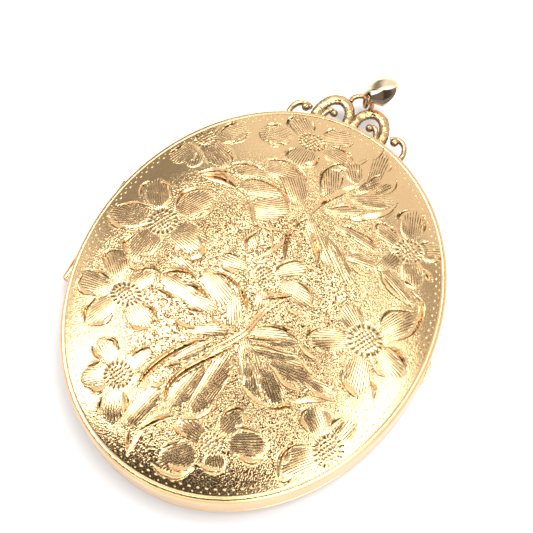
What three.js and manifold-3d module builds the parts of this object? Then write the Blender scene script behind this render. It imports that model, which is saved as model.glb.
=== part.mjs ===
// An oval hinged locket with a scroll gallery, a jump ring and a folded bail.
// Millimetres. +Z points out of the engraved front, +Y towards the bail, and the hinge is on the -X side.
// The origin is the middle of the flat on the back, on which the closed locket lies.
import * as THREE from 'three';
import { mergeVertices } from 'three/addons/utils/BufferGeometryUtils.js';
import { ParametricGeometry } from 'three/addons/geometries/ParametricGeometry.js';
import Module from 'manifold-3d';

const wasm = await Module();
wasm.setup();

// The case. Each round profile is turned as a circle and then stretched along Y into an oval.
const HALF_WIDTH = 20.85;
const HALF_LENGTH = 25;
const STRETCH = HALF_LENGTH / HALF_WIDTH;
const SEAM_Z = 2.45;
const SEAM_GAP = 0.03;
const WALL = 0.8;
const SHEET = 0.6;
const FRONT_EDGE_Z = 5.5;
const DOME_RISE = 1.9;
const DOME_POWER = 2.4;
const DOME_RADIUS = HALF_WIDTH - 0.6;
const OVAL_STEPS = 64;

// The hinge: five knuckles on a pin beside the left wall.
const HINGE_X = -HALF_WIDTH - 0.15;
const KNUCKLE_RADIUS = 0.6;
const KNUCKLE_COUNT = 5;
const HINGE_LENGTH = 14.5;
const KNUCKLE_GAP = 0.06;
const BORE_RADIUS = 0.32;
const PIN_RADIUS = 0.26;
const HINGE_RELIEF = 0.7;

// The scroll gallery soldered to the top of the back half. The left scroll sits a little higher than the right.
const GALLERY_Z = 2.3;
const BAND_WIDTH = 1.3;
const LEFT_SHIFT = [-0.12, 0.15];
const BAND_THICKNESS = 0.9;
const CURL_WIDTH = 0.66;
const SOLDER_GAP = 0.04;
const LOOP_RADIUS = 1.38;
const LOOP_FOOT_Y = 30.2;
const LOOP_BASE_Y = 30.25;
const LOOP_TOP_Y = 31.6;
const LOOP_WIRE = 0.3;

// The jump ring, threaded through the loop. It leans a little to the right.
const RING_CENTRE = new THREE.Vector3(0.35, 31.26, 2.53);
const RING_NORMAL = new THREE.Vector3(0.907, 0.366, -0.208).normalize();
const RING_RADIUS = 1.05;
const RING_WIRE = 0.22;

// The bail: a folded band, wide in the middle of each limb, with a ridge along its outside.
const BAIL_HEEL = new THREE.Vector3(-0.047, 31.027, 3.272);
const BAIL_ALONG = new THREE.Vector3(0.813, 0.449, 0.372).normalize();
const BAIL_UP = new THREE.Vector3(-0.5, 0.208, 0.841);
const BAIL_LENGTH = 4.5;
const BAIL_DEPTH = 2.6;
const BAIL_TEAR = 0.2;
const BAIL_SHEET = 0.22;
const BAIL_RIDGE = 0.34;
const BAIL_HALF_WIDTHS = { heel: 0.22, front: 1.5, crown: 0.35, back: 1.85 };

function profile(rows) {
  return rows.map(([radius, z]) => new THREE.Vector2(radius, z));
}

// Leaves only positions, joins equal vertices, drops slivers and turns the faces outwards.
function closedIndexed(source) {
  const plain = source.clone();
  plain.deleteAttribute('normal');
  plain.deleteAttribute('uv');
  const merged = mergeVertices(plain, 1e-4);
  const index = merged.index.array;
  const at = merged.attributes.position;
  const corner = [new THREE.Vector3(), new THREE.Vector3(), new THREE.Vector3()];
  const kept = [];
  let volume = 0;
  for (let i = 0; i < index.length; i += 3) {
    const [a, b, c] = index.slice(i, i + 3);
    if (a === b || b === c || c === a) {
      continue;
    }
    corner[0].fromBufferAttribute(at, a);
    corner[1].fromBufferAttribute(at, b);
    corner[2].fromBufferAttribute(at, c);
    volume += corner[0].dot(corner[1].clone().cross(corner[2]));
    kept.push(a, b, c);
  }
  if (volume < 0) {
    kept.reverse();
  }
  merged.setIndex(kept);
  return merged;
}

function toSolid(geometry) {
  const closed = closedIndexed(geometry);
  return new wasm.Manifold(new wasm.Mesh({
    numProp: 3,
    vertProperties: closed.attributes.position.array,
    triVerts: new Uint32Array(closed.index.array),
  }));
}

function toGeometry(solid) {
  const mesh = solid.getMesh();
  const geometry = new THREE.BufferGeometry();
  geometry.setAttribute('position', new THREE.BufferAttribute(mesh.vertProperties, 3));
  geometry.setIndex(new THREE.BufferAttribute(mesh.triVerts, 1));
  geometry.computeVertexNormals();
  return geometry;
}

function oval(rows, steps = OVAL_STEPS) {
  const turned = new THREE.LatheGeometry(profile(rows), steps);
  turned.rotateX(Math.PI / 2);
  turned.scale(1, STRETCH, 1);
  return closedIndexed(turned);
}

function ovalPlate(radius, low, high, steps = OVAL_STEPS) {
  return oval([[0, low], [radius, low], [radius, high], [0, high]], steps);
}

function alongY(radius, length, y, sides) {
  const rod = new THREE.CylinderGeometry(radius, radius, length, sides);
  rod.translate(HINGE_X, y, 0);
  rod.translate(0, 0, SEAM_Z);
  return rod;
}

// A half-round wire swept along points in the gallery's plane.
function sweep(points, width, thickness, steps, halfSides = 6) {
  const path = new THREE.CatmullRomCurve3(points.map(([x, y]) => new THREE.Vector3(x, y, GALLERY_Z)));
  const section = new THREE.Shape();
  section.absellipse(0, 0, thickness / 2, width / 2, 0, 2 * Math.PI);
  return new THREE.ExtrudeGeometry(section, {
    steps,
    curveSegments: halfSides,
    bevelEnabled: false,
    extrudePath: path,
  });
}

function ball(x, y, radius) {
  const bead = new THREE.SphereGeometry(radius, 12, 8);
  bead.translate(x, y, GALLERY_Z + 0.12);
  return bead;
}

function domeHeight(radius) {
  return FRONT_EDGE_Z + DOME_RISE * (1 - (radius / DOME_RADIUS) ** DOME_POWER);
}

// Colours of the metal and of the parts inside.
const GOLD = { color: 0xe9bd78, roughness: 0.24, metalness: 1 };
const PALE_GOLD = { color: 0xf3dca6, roughness: 0.16, metalness: 1 };
const PIN_GOLD = { color: 0xc79a55, roughness: 0.35, metalness: 1 };
const ACETATE = { color: 0xf4f1e6, roughness: 0.08, metalness: 0 };
const CARD = { color: 0xd9ccb0, roughness: 0.9, metalness: 0 };

const locket = new THREE.Group();
const backCase = new THREE.Group();
const frontCase = new THREE.Group();
locket.add(backCase, frontCase);

function place(group, name, geometry, look) {
  const mesh = new THREE.Mesh(geometry, new THREE.MeshStandardMaterial(look));
  mesh.name = name;
  group.add(mesh);
  return mesh;
}

// The relief that both walls need beside the knuckles.
const relief = toSolid(alongY(HINGE_RELIEF, HINGE_LENGTH + 0.2, 0, 20));

// Front cover: a shallow dome, a fine groove and a rounded rim above a straight wall.
const innerRadius = HALF_WIDTH - WALL;
const frontRows = [];
const domeStations = [0, 0.2, 0.36, 0.5, 0.62, 0.72, 0.81, 0.89, 0.95, 1];
for (const part of domeStations) {
  frontRows.push([DOME_RADIUS * part, domeHeight(DOME_RADIUS * part)]);
}
frontRows.push(
  [DOME_RADIUS + 0.07, FRONT_EDGE_Z - 0.16],
  [DOME_RADIUS + 0.17, FRONT_EDGE_Z],
  [HALF_WIDTH - 0.2, FRONT_EDGE_Z + 0.03],
  [HALF_WIDTH - 0.05, FRONT_EDGE_Z - 0.08],
  [HALF_WIDTH, FRONT_EDGE_Z - 0.28],
  [HALF_WIDTH, SEAM_Z + SEAM_GAP],
  [innerRadius, SEAM_Z + SEAM_GAP],
  [innerRadius, 4.6],
);
for (const part of [0.94, 0.78, 0.58, 0.32, 0]) {
  frontRows.push([DOME_RADIUS * part, domeHeight(DOME_RADIUS * part) - SHEET]);
}
place(frontCase, 'front_cover', toGeometry(toSolid(oval(frontRows)).subtract(relief)), GOLD);

// Back cover: a low dome with a flat in the middle, and a short wall up to the seam.
const backRows = [
  [0, 0],
  [12.5, 0],
  [15.4, 0.1],
  [17.8, 0.38],
  [19.5, 0.78],
  [20.45, 1.22],
  [HALF_WIDTH, 1.7],
  [HALF_WIDTH, SEAM_Z - SEAM_GAP],
  [innerRadius, SEAM_Z - SEAM_GAP],
  [innerRadius, 1.78],
  [19.0, 1.3],
  [17.2, 0.92],
  [14.9, 0.68],
  [12.3, SHEET],
  [0, SHEET],
];
place(backCase, 'back_cover', toGeometry(toSolid(oval(backRows)).subtract(relief)), GOLD);

// Snap rim: stands inside the back wall and enters the front when it shuts.
place(backCase, 'snap_rim', oval([
  [19.56, 1.86],
  [20.0, 1.86],
  [20.0, 2.36],
  [19.92, 2.44],
  [19.92, 3.02],
  [19.82, 3.14],
  [19.56, 3.14],
  [19.56, 1.86],
]), GOLD);

// Photo frames, each holding a clear sheet over a blank card.
place(backCase, 'photo_frame_back', oval([
  [17.6, 1.98],
  [17.6, 2.16],
  [17.85, 2.3],
  [19.48, 2.3],
  [19.48, 1.66],
  [19.1, 1.66],
  [19.1, 1.98],
  [17.6, 1.98],
]), GOLD);
place(backCase, 'glazing_back', ovalPlate(19.0, 1.78, 1.94), ACETATE);
place(backCase, 'photo_card_back', ovalPlate(19.0, 1.58, 1.75), CARD);
place(frontCase, 'photo_frame_front', oval([
  [17.6, 3.74],
  [17.6, 3.56],
  [17.85, 3.42],
  [19.98, 3.42],
  [19.98, 4.4],
  [19.55, 4.4],
  [19.55, 3.74],
  [17.6, 3.74],
]), GOLD);
place(frontCase, 'glazing_front', ovalPlate(19.45, 3.78, 3.94), ACETATE);
place(frontCase, 'photo_card_front', ovalPlate(19.45, 3.97, 4.14), CARD);

// Hinge knuckles, numbered from the bottom: odd ones on the back half, even ones on the front.
const pitch = HINGE_LENGTH / KNUCKLE_COUNT;
const leafHeight = KNUCKLE_RADIUS - 0.06;
const caseCore = toSolid(ovalPlate(HALF_WIDTH + 0.03, -1, 9));
const bore = toSolid(alongY(BORE_RADIUS, HINGE_LENGTH + 1, 0, 18));
for (let i = 0; i < KNUCKLE_COUNT; i += 1) {
  const onBack = i % 2 === 0;
  const y = (i - (KNUCKLE_COUNT - 1) / 2) * pitch;
  const length = pitch - KNUCKLE_GAP;
  const leaf = new THREE.BoxGeometry(2.4, length, leafHeight);
  const side = onBack ? -1 : 1;
  leaf.translate(HINGE_X + 1.2, y, SEAM_Z + side * (0.06 + leafHeight / 2));
  const knuckle = toSolid(leaf)
    .subtract(caseCore)
    .add(toSolid(alongY(KNUCKLE_RADIUS, length, y, 20)))
    .subtract(bore);
  place(onBack ? backCase : frontCase, `hinge_knuckle_${i + 1}`, toGeometry(knuckle), GOLD);
}
place(backCase, 'hinge_pin', alongY(PIN_RADIUS, HINGE_LENGTH - 0.1, 0, 18), PIN_GOLD);

// Thumb lip: a small crescent on the front half, opposite the hinge, for a fingernail.
const lip = new THREE.CylinderGeometry(2.6, 2.6, 0.42, 28);
lip.rotateX(Math.PI / 2);
lip.translate(HALF_WIDTH + 0.5 - 2.6, 0, SEAM_Z + 0.3);
place(frontCase, 'thumb_lip', toGeometry(toSolid(lip).subtract(caseCore)), GOLD);

// Scroll gallery: each side has an arched scroll whose foot hooks up into a bead, and an outer curl with a bead.
const caseFoot = toSolid(ovalPlate(HALF_WIDTH + SOLDER_GAP, -1, 9));
const ARCH = [
  [0.62, 24.9], [0.44, 26.2], [0.42, 27.3], [0.66, 28.35], [1.3, 29.22], [2.3, 29.62],
  [3.35, 29.25], [4.02, 28.35], [4.38, 27.3], [4.45, 26.3], [4.15, 25.5],
];
const HOOK = [[4.4, 26.4], [4.05, 25.72], [3.66, 26.0], [3.5, 26.8], [3.12, 27.56], [2.62, 27.72]];
const CURL = [[7.1, 23.1], [7.62, 24.9], [7.62, 26.0], [7.2, 26.88], [6.5, 27.3], [5.82, 27.2], [5.4, 26.98]];
for (const [side, sign] of [['left', -1], ['right', 1]]) {
  const [shiftX, shiftY] = side === 'left' ? LEFT_SHIFT : [0, 0];
  const across = (points) => points.map(([x, y]) => [sign * x + shiftX, y + shiftY]);
  const otherHalf = new THREE.BoxGeometry(4, 20, 4);
  otherHalf.translate(-sign * (2 - 0.015), 28, GALLERY_Z);
  const scroll = toSolid(sweep(across(ARCH), BAND_WIDTH, BAND_THICKNESS, 28))
    .add(toSolid(sweep(across(HOOK), CURL_WIDTH, BAND_THICKNESS * 0.9, 14, 5)))
    .add(toSolid(ball(sign * 2.4 + shiftX, 27.36 + shiftY, 0.5)))
    .subtract(toSolid(otherHalf))
    .subtract(caseFoot);
  place(backCase, `scroll_${side}`, toGeometry(scroll), GOLD);
  const curl = toSolid(sweep(across(CURL), CURL_WIDTH, BAND_THICKNESS * 0.9, 16, 5))
    .add(toSolid(ball(sign * 6.02, 26.74, 0.54)))
    .subtract(caseFoot);
  place(backCase, `curl_${side}`, toGeometry(curl), GOLD);
}

// Loop: a wire eye that bridges the two arches and carries the jump ring.
const loopPoints = [[LOOP_RADIUS, LOOP_FOOT_Y]];
const loopRise = LOOP_TOP_Y - LOOP_BASE_Y;
for (let i = 1; i < 12; i += 1) {
  const angle = (Math.PI * i) / 12;
  loopPoints.push([LOOP_RADIUS * Math.cos(angle), LOOP_BASE_Y + loopRise * Math.sin(angle)]);
}
loopPoints.push([-LOOP_RADIUS, LOOP_FOOT_Y + LEFT_SHIFT[1]]);
place(backCase, 'top_loop', sweep(loopPoints, 2 * LOOP_WIRE, 2 * LOOP_WIRE, 18, 5), GOLD);

const ring = place(locket, 'jump_ring', new THREE.TorusGeometry(RING_RADIUS, RING_WIRE, 8, 28), GOLD);
ring.position.copy(RING_CENTRE);
ring.quaternion.setFromUnitVectors(new THREE.Vector3(0, 0, 1), RING_NORMAL);

// The bail is a closed band: u runs round the fold from the heel over the front, v round the band's section.
const bailUp = BAIL_UP.clone().addScaledVector(BAIL_ALONG, -BAIL_UP.dot(BAIL_ALONG)).normalize();
const bailSide = bailUp.clone().cross(BAIL_ALONG).normalize();
const widthStations = [
  BAIL_HALF_WIDTHS.heel,
  BAIL_HALF_WIDTHS.front,
  BAIL_HALF_WIDTHS.crown,
  BAIL_HALF_WIDTHS.back,
  BAIL_HALF_WIDTHS.heel,
];

function bailHalfWidth(u) {
  const span = Math.min(Math.floor(u * 4), 3);
  const part = u * 4 - span;
  // The heel stays slim for longer, so that the jump ring passes beside it.
  const share = { 0: part ** 2, 3: 1 - (1 - part) ** 2 }[span] ?? part;
  return widthStations[span] * (1 - share) + widthStations[span + 1] * share;
}

function bailPoint(u, v, target) {
  const turn = 2 * Math.PI * (u % 1);
  const along = (BAIL_LENGTH / 2) * (1 - Math.cos(turn));
  const up = (BAIL_DEPTH / 2) * Math.sin(turn) * Math.abs(Math.sin(turn / 2)) ** BAIL_TEAR;
  const outAlong = -(BAIL_DEPTH / 2) * Math.cos(turn);
  const outUp = (BAIL_LENGTH / 2) * Math.sin(turn);
  const outLength = Math.hypot(outAlong, outUp);
  const half = bailHalfWidth(u % 1);
  const ridge = BAIL_RIDGE * (half / BAIL_HALF_WIDTHS.front);
  const corner = Math.round(v * 6) % 6;
  const across = [-1, 0, 1, 1, 0, -1][corner] * half;
  const lift = [0, ridge, 0, -BAIL_SHEET, ridge - BAIL_SHEET, -BAIL_SHEET][corner];
  target.copy(BAIL_HEEL);
  target.addScaledVector(BAIL_ALONG, along + (lift * outAlong) / outLength);
  target.addScaledVector(bailUp, up + (lift * outUp) / outLength);
  target.addScaledVector(bailSide, across);
}

place(locket, 'bail', closedIndexed(new ParametricGeometry(bailPoint, 32, 6)), PALE_GOLD);

export default locket;
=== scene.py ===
"""The looks of a hinged oval locket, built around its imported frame.

The front is hand engraved with flowers and two leaves, so its sheet is a dense mesh whose height holds
every cut. Shapes are worked out in millimetres and turned into metres when a mesh is made.
"""

import math

import bmesh
import bpy
import numpy as np
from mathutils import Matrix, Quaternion, Vector


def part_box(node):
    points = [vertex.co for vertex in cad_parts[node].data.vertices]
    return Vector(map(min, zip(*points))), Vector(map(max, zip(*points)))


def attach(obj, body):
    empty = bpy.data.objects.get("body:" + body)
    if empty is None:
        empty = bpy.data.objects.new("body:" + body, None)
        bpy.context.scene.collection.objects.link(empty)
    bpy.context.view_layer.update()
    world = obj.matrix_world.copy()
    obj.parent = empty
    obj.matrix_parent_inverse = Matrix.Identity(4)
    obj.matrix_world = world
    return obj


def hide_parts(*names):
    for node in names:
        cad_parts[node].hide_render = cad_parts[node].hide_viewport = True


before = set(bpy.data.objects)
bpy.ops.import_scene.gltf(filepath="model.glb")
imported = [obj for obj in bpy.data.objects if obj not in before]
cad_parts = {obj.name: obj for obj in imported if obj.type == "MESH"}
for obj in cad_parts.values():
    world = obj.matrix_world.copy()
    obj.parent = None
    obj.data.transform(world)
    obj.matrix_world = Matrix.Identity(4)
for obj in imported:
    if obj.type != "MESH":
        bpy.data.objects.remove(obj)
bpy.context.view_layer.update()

MM = 0.001
scene = bpy.context.scene

# Sizes of the case in millimetres, from the frame.
_, cover_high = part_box("front_cover")
HALF_WIDTH = cover_high.x / MM
HALF_LENGTH = cover_high.y / MM
STRETCH = HALF_LENGTH / HALF_WIDTH
DOME_RISE = 1.9
DOME_POWER = 2.4
EDGE_Z = cover_high.z / MM - DOME_RISE
DOME_RADIUS = HALF_WIDTH - 0.6
SEAM_Z = 2.45
SEAM_GAP = 0.03
WALL = 0.8
SHEET = 0.6
GROOVE = (DOME_RADIUS + 0.07, EDGE_Z - 0.04)

# The hinge.
HINGE_X = -HALF_WIDTH - 0.15
KNUCKLE_RADIUS = 0.6
KNUCKLE_COUNT = 5
BORE_RADIUS = 0.32
HINGE_RELIEF = 0.7
HINGE_RECESS = 14.7

# The thumb lip.
THUMB_RADIUS = 2.6
THUMB_REACH = 0.5
THUMB_LOW = 0.09
THUMB_HIGH = 0.51

# The gallery, the ring and the bail.
GALLERY_Z = 2.3
BAND_WIDTH = 1.3
BAND_THICKNESS = 0.9
CURL_WIDTH = 0.66
SOLDER_GAP = 0.04
RING_NORMAL = Vector((0.907, 0.366, -0.208)).normalized()
RING_RADIUS = 1.05
RING_WIRE = 0.22
RING_STEPS = 96
RING_JOINT = 70
RING_JOINT_DEPTH = 0.03
BAIL_HEEL = Vector((-0.047, 31.027, 3.272))
BAIL_ALONG = Vector((0.813, 0.449, 0.372)).normalized()
BAIL_UP = Vector((-0.5, 0.208, 0.841))
BAIL_LENGTH = 4.5
BAIL_DEPTH = 2.6
BAIL_TEAR = 0.2
BAIL_SHEET = 0.22
BAIL_RIDGE = 0.34
BAIL_CREST = 0.93
BAIL_HALF_WIDTHS = (0.22, 1.5, 0.35, 1.85, 0.22)


# ---------------------------------------------------------------- camera, light and floor

CAMERA_TARGET = Vector((-1.35, 5.5, 0))
CAMERA_DISTANCE = 125
CAMERA_AZIMUTH = 26.1
CAMERA_ELEVATION = 63.5
CAMERA_ROLL = -0.4
CAMERA_LENS = 70.7
LAMP_SPREAD = 38
LAMP_POWER = 6.5
LAMP_DIRECTION = Vector((-0.22, -0.27, -0.94))
FLOOR_GLOW = 0.45


def make_camera():
    """A camera above the lower right of the locket."""
    angles = (CAMERA_AZIMUTH, CAMERA_ELEVATION, CAMERA_ROLL)
    azimuth, elevation, roll = (math.radians(a) for a in angles)
    level = math.cos(elevation)
    back = Vector((math.sin(azimuth) * level, -math.cos(azimuth) * level, math.sin(elevation)))
    data = bpy.data.cameras.new("camera")
    data.lens = CAMERA_LENS
    data.sensor_width = 36
    data.clip_start = 0.01
    camera = bpy.data.objects.new("camera", data)
    camera.location = (CAMERA_TARGET + back * CAMERA_DISTANCE) * MM
    camera.rotation_mode = "QUATERNION"
    camera.rotation_quaternion = (-back).to_track_quat("-Z", "Y") @ Quaternion((0, 0, 1), roll)
    scene.collection.objects.link(camera)
    scene.camera = camera


def feed(tree, made, inputs):
    """Links or sets a node's inputs."""
    for name, value in inputs.items():
        if isinstance(value, bpy.types.NodeSocket):
            tree.links.new(value, made.inputs[name])
        else:
            made.inputs[name].default_value = value


def node(tree, kind, inputs=None, **settings):
    """A shader node with its settings, and its inputs linked or set."""
    made = tree.nodes.new(kind)
    for name, value in settings.items():
        setattr(made, name, value)
    feed(tree, made, inputs or {})
    return made


def calc(tree, operation, a, b=0.0, clamp=False):
    """The output of a Math node."""
    made = node(tree, "ShaderNodeMath", {0: a, 1: b}, operation=operation, use_clamp=clamp)
    return made.outputs[0]


def ramp(tree, value, low, high, out_low=0.0, out_high=1.0):
    """value eased from out_low at low to out_high at high."""
    settings = {"Value": value, "From Min": low, "From Max": high, "To Min": out_low, "To Max": out_high}
    return node(tree, "ShaderNodeMapRange", settings, interpolation_type="SMOOTHSTEP").outputs[0]


# Cards round the locket, each a soft-edged oval in the x and y of the direction it is seen in:
# centre, half sizes, turn in degrees and brightness. Later cards hide earlier ones. They are placed so
# that the dome reflects bright and dark patches much like those of the photo.
CARDS = (
    ((-0.41, 0.15), (0.11, 0.42), -28, 11.0),
    ((0.24, 0.13), (0.11, 0.38), 0, 7.0),
    ((-0.17, 0.42), (0.28, 0.09), 4, 4.0),
    ((0.14, 0.57), (0.3, 0.07), 0, 0.4),
    ((-0.54, 0.46), (0.2, 0.2), 0, 0.35),
    ((0.34, 0.46), (0.13, 0.14), 0, 0.5),
    ((-0.01, 0.06), (0.25, 0.27), 8, 0.04),
    ((-0.31, -0.18), (0.37, 0.16), 0, 0.02),
    ((-0.15, -0.5), (0.3, 0.2), 0, 1.6),
    ((0.53, -0.32), (0.34, 0.34), 0, 3.4),
)
CARD_EDGE = 0.12
TENT = 1.0
TENT_TINT = (1.0, 0.985, 0.96, 1)
FAR_SIDE = 0.28
FAR_DIRECTION = (-0.8, 0.6, 0)
ENDLESS = 1e6


def make_world():
    """A white tent with bright and dark cards in it, and a dark far side."""
    world = bpy.data.worlds.new("tent")
    scene.world = world
    world.use_nodes = True
    tree = world.node_tree
    direction = node(tree, "ShaderNodeTexCoord").outputs["Generated"]
    height = node(tree, "ShaderNodeSeparateXYZ", {0: direction}).outputs["Z"]
    far = node(tree, "ShaderNodeVectorMath", {0: direction, 1: FAR_DIRECTION}, operation="DOT_PRODUCT")
    level = ramp(tree, far.outputs["Value"], 0.8, 0.92, TENT, FAR_SIDE)
    above = ramp(tree, height, 0.0, 0.1)
    for centre, half, turn, brightness in CARDS:
        place = {
            "Vector": direction, "Location": (*centre, 0), "Rotation": (0, 0, math.radians(turn)),
            "Scale": (*half, ENDLESS),
        }
        flat = node(tree, "ShaderNodeMapping", place, vector_type="TEXTURE").outputs[0]
        reach = node(tree, "ShaderNodeVectorMath", {0: flat}, operation="LENGTH").outputs["Value"]
        mask = calc(tree, "MULTIPLY", above, ramp(tree, reach, 1 - CARD_EDGE, 1 + CARD_EDGE, 1.0, 0.0))
        change = calc(tree, "MULTIPLY", mask, calc(tree, "SUBTRACT", brightness, level))
        level = calc(tree, "ADD", level, change)
    feed(tree, tree.nodes["Background"], {"Color": TENT_TINT, "Strength": level})


def make_lights():
    """A large soft lamp far off. It lights the floor and draws a shadow, but isn't seen in the metal."""
    data = bpy.data.lights.new("softbox", "SUN")
    data.angle = math.radians(LAMP_SPREAD)
    data.energy = LAMP_POWER
    lamp = bpy.data.objects.new("softbox", data)
    lamp.rotation_mode = "QUATERNION"
    lamp.rotation_quaternion = LAMP_DIRECTION.to_track_quat("-Z", "Y")
    lamp.visible_glossy = False
    scene.collection.objects.link(lamp)


def make_floor():
    """A plain white light table, which glows a little."""
    bpy.ops.mesh.primitive_plane_add(size=4, location=(0, 0, 0))
    floor = bpy.context.object
    floor.name = "floor"
    material = bpy.data.materials.new("floor")
    material.use_nodes = True
    feed(material.node_tree, material.node_tree.nodes["Principled BSDF"], {
        "Base Color": (0.25, 0.25, 0.25, 1), "Emission Color": (1.0, 0.94, 0.93, 1),
        "Emission Strength": FLOOR_GLOW, "Roughness": 0.7, "Specular IOR Level": 0.1,
    })
    floor.data.materials.append(material)


# ---------------------------------------------------------------- materials

GOLD = (0.91, 0.64, 0.34, 1)
GOLD_ROSE = (0.87, 0.58, 0.30, 1)
GOLD_PALE = (0.95, 0.80, 0.55, 1)
GOLD_STRAW = (0.92, 0.74, 0.47, 1)
GOLD_CAST = (0.86, 0.60, 0.32, 1)
GOLD_BROWN = (0.74, 0.47, 0.23, 1)
GOLD_WIRE = (0.75, 0.50, 0.26, 1)
GOLD_WIRE_DARK = (0.66, 0.43, 0.22, 1)
# Dark browns for the bail's inside faces: painted shade.
SHADE_BROWN = (0.22, 0.15, 0.095, 1)
SHADE_BROWN_DEEP = (0.10, 0.065, 0.045, 1)


def start_material(name):
    """A material with nodes, its tree, its shader and its object coordinates."""
    material = bpy.data.materials.new(name)
    material.use_nodes = True
    tree = material.node_tree
    place = node(tree, "ShaderNodeTexCoord").outputs["Object"]
    return material, tree, tree.nodes["Principled BSDF"], place


def speckle(tree, place, size_mm, detail=2.0, kind="ShaderNodeTexNoise"):
    """Noise with features of about size_mm."""
    return node(tree, kind, {"Vector": place, "Scale": 1 / (size_mm * MM), "Detail": detail}).outputs[0]


def mix_colour(tree, share, first, second, blend="MIX"):
    """The second colour laid over the first by share."""
    inputs = {0: share, 6: first, 7: second}
    return node(tree, "ShaderNodeMix", inputs, data_type="RGBA", blend_type=blend).outputs[2]


def bump(tree, height, distance_mm, strength=1.0, under=None):
    """A normal bent by height, over another bump if one is given."""
    inputs = {"Height": height, "Distance": distance_mm * MM, "Strength": strength}
    if under is not None:
        inputs["Normal"] = under
    return node(tree, "ShaderNodeBump", inputs).outputs[0]


def attribute(tree, name, output="Fac"):
    """A field that the mesh carries."""
    return node(tree, "ShaderNodeAttribute", attribute_name=name).outputs[output]


# Brown for faces that turn away from the top: painted shade, broken up by blotches of tarnish.
TARNISH_AND_SHADE = (0.2, 0.12, 0.06, 1)
WORN = 0.06


def metal(name, colour, tint, roughness, scratch, shade_and_tarnish=0.0, dented=0.012):
    """Polished gold: a drift of tint, uneven polish, hair scratches, and painted shade in tarnish brown on
    faces that turn away from its top, broken up by blotches.
    """
    material, tree, shader, place = start_material(name)
    drift = ramp(tree, speckle(tree, place, 6.0), 0.35, 0.65)
    clean = mix_colour(tree, drift, colour, tint)
    up = node(tree, "ShaderNodeSeparateXYZ", {0: node(tree, "ShaderNodeNewGeometry").outputs["Normal"]})
    blotch = calc(tree, "MULTIPLY", speckle(tree, place, 0.9, 3.0), 0.5)
    # Painted shade: faces that turn away from the top are browned, broken up by blotches.
    low = ramp(tree, calc(tree, "ADD", up.outputs["Z"], blotch), 0.85, 1.3, shade_and_tarnish, 0.0)
    patch = speckle(tree, place, 1.4, 4.0)
    stretched = node(tree, "ShaderNodeMapping", {"Vector": place, "Scale": (1.0, 14.0, 1.0)}).outputs[0]
    hair = ramp(tree, speckle(tree, stretched, 0.9, 3.0), 0.45, 0.62)
    dents = ramp(tree, speckle(tree, place, 0.7), 0.3, 0.7)
    fine = bump(tree, hair, 0.004, scratch)
    feed(tree, shader, {
        "Metallic": 1.0, "Base Color": mix_colour(tree, low, clean, TARNISH_AND_SHADE),
        "Roughness": ramp(tree, patch, 0.35, 0.7, roughness, roughness + WORN),
        "Normal": bump(tree, dents, dented, 0.35, fine),
    })
    return material


HATCH_SPACING = 0.27
# A dark colour laid into the hatch furrows, the pits of the ground and the cut walls; on the walls that face
# one side it is painted shade.
DIRT_AND_SHADE = (0.05, 0.027, 0.015, 1)
DIRT_AND_SHADE_SHARE = 0.85
# The fields that the front's mesh carries for its material.
FIELDS = ("cut", "lines", "grid", "ground", "grime_and_shade")


def engraved_gold():
    """Gold with hatched petals, mirror-bright cuts and a worm-like pricked ground between them. Furrows, pits
    and cut walls are darkened, with painted shade on the cut walls that face one side.
    """
    material, tree, shader, place = start_material("gold_engraved")
    cut, lines, grid, ground, grime_and_shade = (attribute(tree, name) for name in FIELDS)
    across = node(tree, "ShaderNodeSeparateXYZ", {0: attribute(tree, "hatch", "Vector")}).outputs
    wobble = calc(tree, "MULTIPLY", speckle(tree, place, 1.1), 1.6)
    uneven = ramp(tree, speckle(tree, place, 0.8), 0.3, 0.6, 0.35, 1.0)

    def furrows(distance):
        turns = calc(tree, "ADD", calc(tree, "MULTIPLY", distance, 2 * math.pi / HATCH_SPACING), wobble)
        return calc(tree, "MULTIPLY", ramp(tree, calc(tree, "SINE", turns), 0.0, 1.0), uneven)

    first = calc(tree, "MULTIPLY", furrows(across["X"]), lines)
    second = calc(tree, "MULTIPLY", furrows(across["Y"]), grid)
    hatch = calc(tree, "MAXIMUM", first, second)
    crease = calc(tree, "ABSOLUTE", calc(tree, "SUBTRACT", speckle(tree, place, 0.29, 1.0), 0.5))
    worms = calc(tree, "MULTIPLY", ramp(tree, crease, 0.0, 0.14), ground)
    fine = bump(tree, speckle(tree, place, 0.16, 2.0), 0.003)
    pricked = bump(tree, worms, 0.03, under=fine)
    matte = ramp(tree, ground, 0.0, 1.0, 0.15, 0.1)
    drawn = ramp(tree, cut, 0.1, 0.6, 0.0, -0.1)
    drift = ramp(tree, speckle(tree, place, 5.0), 0.35, 0.65)
    base = mix_colour(tree, drift, GOLD, GOLD_ROSE)
    # The furrows, the pits and the cut walls are darkened; on the walls that face one side this is painted
    # shade.
    pits = calc(tree, "MULTIPLY", ramp(tree, crease, 0.01, 0.08, 1.0, 0.0), ground)
    dirt_and_shade = calc(tree, "MAXIMUM", calc(tree, "MULTIPLY", hatch, DIRT_AND_SHADE_SHARE), pits)
    dirt_and_shade = calc(tree, "MAXIMUM", dirt_and_shade, calc(tree, "MULTIPLY", grime_and_shade, DIRT_AND_SHADE_SHARE))
    feed(tree, shader, {
        "Metallic": 1.0, "Base Color": mix_colour(tree, dirt_and_shade, base, DIRT_AND_SHADE, "MULTIPLY"),
        "Roughness": calc(tree, "ADD", matte, drawn, clamp=True),
        "Normal": bump(tree, calc(tree, "SUBTRACT", 1.0, hatch), 0.06, under=pricked),
    })
    return material


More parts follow.
